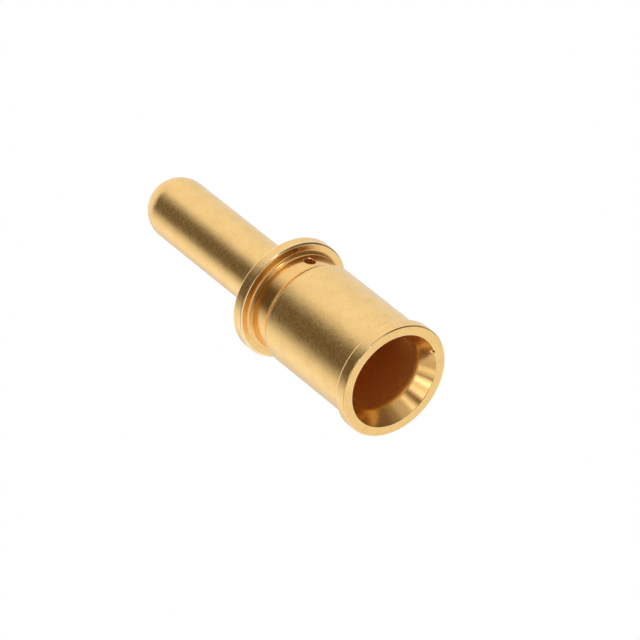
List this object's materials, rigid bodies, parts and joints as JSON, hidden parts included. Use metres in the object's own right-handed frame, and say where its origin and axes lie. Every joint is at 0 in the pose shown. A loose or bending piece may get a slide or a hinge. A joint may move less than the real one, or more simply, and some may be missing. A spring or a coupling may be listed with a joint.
{
  "type": "crimp pin contact",
  "caption": "Turned gold plated crimp pin contact: round-nosed pin, retaining flange, neck with an inspection hole, and a crimp barrel with a countersunk wire bore.",
  "frame": {"origin": "centre of the mouth face of the crimp barrel, on which the contact stands", "axes": "+Z along the axis to the tip of the pin, +X through the inspection hole"},
  "size_m": [0.007, 0.007, 0.0217],
  "materials": {
    "gold_plate": "satin gold plate"
  },
  "bodies": {
    "root": {"contact": "gold_plate"}
  },
  "joints": []
}
